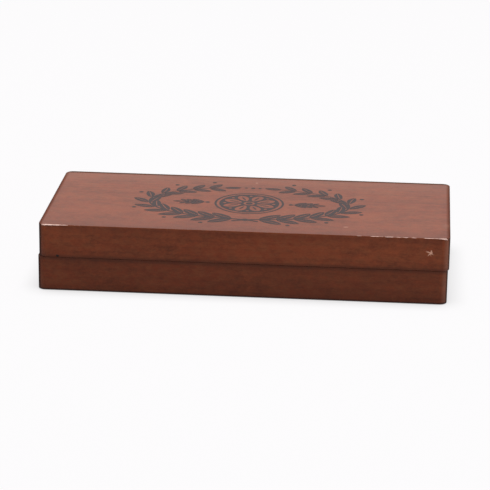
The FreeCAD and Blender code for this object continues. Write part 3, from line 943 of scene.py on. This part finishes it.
strip_low, strip_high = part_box("lid_wall_felt")
felt_thickness = felt_high.z - felt_low.z
inset = Vector((felt_thickness, felt_thickness, -felt_thickness))
strip_round = hollow_round - felt_gap
strip = block(strip_low, strip_high, strip_round)
strip = carve(strip, block(strip_low + inset, strip_high - inset, strip_round - felt_thickness))
seam = (strip_low.x + strip_high.x) / 2
seam_low = Vector((seam - seam_gap / 2, strip_high.y + 2 * inset.z, strip_low.z + inset.z))
seam_high = Vector((seam + seam_gap / 2, strip_high.y - inset.z, strip_high.z - inset.z))
strip = carve(strip, block(seam_low, seam_high, seam_gap / 10, 1))
take_off(strip, arrises_at(strip, strip_low.z), felt_round, 2)
wall_strip = finished("lid_wall_lining", strip, felt_material, "lid", "felt", "lid_wall_felt")
size = strip_high - strip_low
strip_length = 2 * (size.x + size.y - 2 * felt_thickness) - seam_gap
strip_length -= (8 - math.tau) * (strip_round - felt_thickness / 2)


# Dice insert
# A slab of black closed-cell foam, die-cut with seven six-sided pockets, one for each die, and a
# trough for spares. It presses into the base and lies on the felt, which shows through the cuts.
foam_colour = (0.018, 0.018, 0.020, 1)
foam_pale = (0.045, 0.045, 0.048, 1)
foam_round = 0.6 * MM
pocket_count = 7
pocket_flats = 24.0 * MM
pocket_pitch = 27.4 * MM
pocket_first = Vector((-82.2, -22.84)) * MM
pocket_round = 1.2 * MM
trough_low = Vector((-94.2, -3.99)) * MM
trough_high = Vector((94.2, 36.7)) * MM
trough_round = 6.0 * MM
insert_low, insert_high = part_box("dice_insert")


def round_corners(made, verts, radius, steps):
    bmesh.ops.bevel(
        made, geom=verts, offset=radius, offset_type="OFFSET", segments=steps,
        profile=0.5, affect="VERTICES", material=-1,
    )


def rounded_outline(made, low, high, radius, steps=8):
    """The outline of a rectangle with rounded corners."""
    corners = bmesh.ops.create_circle(made, radius=1.0, segments=4)["verts"]
    places = ((low.x, low.y), (high.x, low.y), (high.x, high.y), (low.x, high.y))
    for vert, (x, y) in zip(corners, places):
        vert.co = (x, y, 0)
    round_corners(made, corners, radius, steps)


foam = bmesh.new()
rounded_outline(foam, insert_low, insert_high, hollow_round - 1.5 * felt_gap)
rounded_outline(foam, trough_low, trough_high, trough_round)
across_corners = pocket_flats / math.cos(math.pi / 6)
for number in range(pocket_count):
    centre = (pocket_first + Vector((pocket_pitch * number, 0))).to_3d()
    turned = Matrix.Translation(centre) @ Matrix.Rotation(math.pi / 6, 4, "Z")
    corners = bmesh.ops.create_circle(foam, radius=across_corners / 2, segments=6, matrix=turned)
    round_corners(foam, corners["verts"], pocket_round, 3)
bmesh.ops.triangle_fill(foam, use_beauty=True, edges=foam.edges[:])
raise_up(foam, insert_low.z, insert_high.z)
take_off(foam, arrises_at(foam, insert_high.z), foam_round, 3)

foam_finish = Finish(bpy.data.materials.new("die_cut_foam"))
place = foam_finish.place()
cells = foam_finish.node("TexVoronoi", {}, {"Vector": place.stretch((3.2, 3.2, 3.2)), "Scale": 1.0})
pits = 1.0 - cells.ramp(0.15, 0.6)
haze = place.noise((0.08, 0.08, 0.08), detail=3.0).ramp(0.35, 0.7)
foam_shader = foam_finish.node("BsdfPrincipled", {}, {
    "Base Color": foam_finish.mix(foam_colour, foam_pale, haze * 0.5 + pits * 0.3),
    "Roughness": 0.85,
    "Specular IOR Level": 0.3,
    "Normal": foam_finish.bump(pits, 0.12 * MM, 0.7),
})
insert = finished("foam_insert", foam, foam_finish.show(foam_shader), "base", "foam", "dice_insert")


# Magnets
# Two nickel-plated discs in the front rim of each half, let in just below the surface and glued,
# so that the lid snaps shut.
nickel_colour = (0.58, 0.56, 0.52, 1)
nickel_cloudy = (0.40, 0.37, 0.33, 1)
magnet_round = 0.3 * MM

nickel_finish = Finish(bpy.data.materials.new("nickel_plate"))
place = nickel_finish.place()
clouding = place.noise((0.8, 0.8, 0.8), detail=3.0)
scratches = place.noise((0.5, 14.0, 3.0), detail=2.0)
nickel_shader = nickel_finish.node("BsdfPrincipled", {}, {
    "Base Color": nickel_finish.mix(nickel_colour, nickel_cloudy, clouding.ramp(0.45, 0.75) * 0.5),
    "Metallic": 1.0,
    "Roughness": 0.2 + scratches.ramp(0.5, 0.75) * 0.2 + clouding * 0.1,
    "Normal": nickel_finish.bump(scratches, 0.01 * MM, 0.6),
})
nickel_material = nickel_finish.show(nickel_shader)
for body in ("base", "lid"):
    for side in ("left", "right"):
        node = f"{body}_magnet_{side}"
        low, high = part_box(node)
        disc = bmesh.new()
        drill(disc, (high.x - low.x) / 2, high.z - low.z, Matrix.Translation((low + high) / 2), 48)
        take_off(disc, arrises_at(disc, low.z) + arrises_at(disc, high.z), magnet_round, 3)
        finished(f"{node}_disc", disc, nickel_material, body, "nickel", node)


# Hinge leaves
# Drawn brass leaves with their knuckles rolled round the pin, countersunk for two screws each
# and let into the rear rims. Their cut edges are tumbled smooth and the brass has dulled a little.
brass_colour = (0.62, 0.41, 0.14, 1)
brass_dull = (0.33, 0.20, 0.075, 1)
leaf_round = 0.15 * MM
sharp = math.radians(35)


def brass(name, drawn):
    """Satin brass, brushed in the direction in which it was drawn."""
    finish = Finish(bpy.data.materials.new(name))
    place = finish.place()
    tarnish = place.noise((0.22, 0.22, 0.22), detail=4.0, roughness=0.6)
    brushed = place.noise(drawn, detail=2.0)
    dull_share = tarnish.ramp(0.42, 0.72) * 0.6 + brushed.ramp(0.55, 0.75) * 0.15
    shader = finish.node("BsdfPrincipled", {}, {
        "Base Color": finish.mix(brass_colour, brass_dull, dull_share),
        "Metallic": 1.0,
        "Roughness": 0.27 + tarnish * 0.15 + brushed.ramp(0.45, 0.7) * 0.1,
        "Normal": finish.bump(brushed, 0.012 * MM, 0.6),
    })
    return finish.show(shader)


leaf_brass = brass("leaf_brass", (0.35, 9.0, 9.0))
for side in ("left", "right"):
    for body in ("base", "lid"):
        node = f"hinge_{side}_{body}_leaf"
        leaf = bmesh.new()
        leaf.from_mesh(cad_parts[node].data)
        bmesh.ops.remove_doubles(leaf, verts=leaf.verts, dist=level)
        bmesh.ops.dissolve_limit(
            leaf, angle_limit=math.radians(1), use_dissolve_boundaries=False,
            verts=leaf.verts, edges=leaf.edges,
        )
        take_off(leaf, [edge for edge in leaf.edges if edge.calc_face_angle(0) > sharp], leaf_round, 2)
        finished(f"{node}_brass", leaf, leaf_brass, body, "brass", node)


# Hinge pins
# Brass wire driven through the knuckles, a little proud at both ends, where it is rounded over.
pin_round = 0.4 * MM
pin_brass = brass("pin_brass", (6.0, 1.5, 1.5))
for side in ("left", "right"):
    node = f"hinge_{side}_pin"
    low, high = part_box(node)
    pin = bmesh.new()
    turned = Matrix.Translation((low + high) / 2) @ Matrix.Rotation(math.pi / 2, 4, "Y")
    drill(pin, (high.z - low.z) / 2, high.x - low.x, turned)
    ends = [edge for edge in pin.edges if abs(edge.verts[0].co.x - edge.verts[1].co.x) < level]
    take_off(pin, ends, pin_round, 3)
    finished(f"{node}_brass", pin, pin_brass, "base", "brass", node)


# Hinge screws
# Slotted countersunk brass screws, two to a leaf, driven until their heads are flush.
head_edge = 0.08 * MM
slot_width = 0.55 * MM
slot_depth = 0.6 * MM
thread_pitch = 0.75 * MM
thread_core = 0.68 * MM
thread_steps = 16
screw_brass = brass("screw_brass", (1.5, 1.5, 1.5))


def cut_thread(screw, top, turns):
    """A sharp ridge wound down the shank."""
    corners = bmesh.ops.create_circle(screw, cap_ends=True, radius=1.0, segments=3)["verts"]
    root = thread_core * 0.9
    for vert, (out, rise) in zip(corners, ((root, 0.25), (shank_radius, 0.0), (root, -0.25))):
        vert.co = (out, 0, top + rise * thread_pitch)
    ridge = {item for vert in corners for item in (*vert.link_edges, *vert.link_faces)}
    bmesh.ops.spin(
        screw, geom=corners + list(ridge), cent=(0, 0, 0), axis=(0, 0, 1),
        angle=-turns * math.tau, dvec=(0, 0, -thread_pitch / thread_steps),
        steps=turns * thread_steps,
    )


def turn_screw(length, slot_angle):
    """A screw that points down, with the top of its head at nothing."""
    head_height = head_radius - thread_core
    screw = bmesh.new()
    bmesh.ops.create_cone(
        screw, cap_ends=True, segments=48, radius1=thread_core, radius2=head_radius,
        depth=head_height, matrix=Matrix.Translation((0, 0, -head_height / 2)),
    )
    take_off(screw, arrises_at(screw, 0.0), head_edge, 2)
    slot_low = Vector((-2 * head_radius, -slot_width / 2, -slot_depth))
    slot_cut = block(slot_low, -slot_low, slot_width / 20, 1)
    bmesh.ops.rotate(slot_cut, verts=slot_cut.verts, matrix=Matrix.Rotation(slot_angle, 3, "Z"))
    screw = carve(screw, slot_cut)
    shank = length - head_height
    bmesh.ops.create_cone(
        screw, cap_ends=True, segments=24, radius1=thread_core / 2, radius2=thread_core,
        depth=shank, matrix=Matrix.Translation((0, 0, -head_height - shank / 2)),
    )
    turns = int(shank / thread_pitch) - 1
    cut_thread(screw, -head_height - thread_pitch / 2, turns)
    bmesh.ops.recalc_face_normals(screw, faces=screw.faces)
    return screw


for side in ("left", "right"):
    for body in ("base", "lid"):
        node = f"hinge_{side}_{body}_screws"
        low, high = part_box(node)
        pair = bmesh.new()
        for x in (low.x + head_radius, high.x - head_radius):
            screw = turn_screw(high.z - low.z, x * 1000)
            if body == "lid":
                bmesh.ops.rotate(screw, verts=screw.verts, matrix=Matrix.Rotation(math.pi, 3, "X"))
            head_z = high.z if body == "base" else low.z
            bmesh.ops.translate(screw, verts=screw.verts, vec=(x, (low.y + high.y) / 2, head_z))
            add_to(pair, screw)
        finished(f"{node}_brass", pair, screw_brass, body, "brass", node)


low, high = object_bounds()
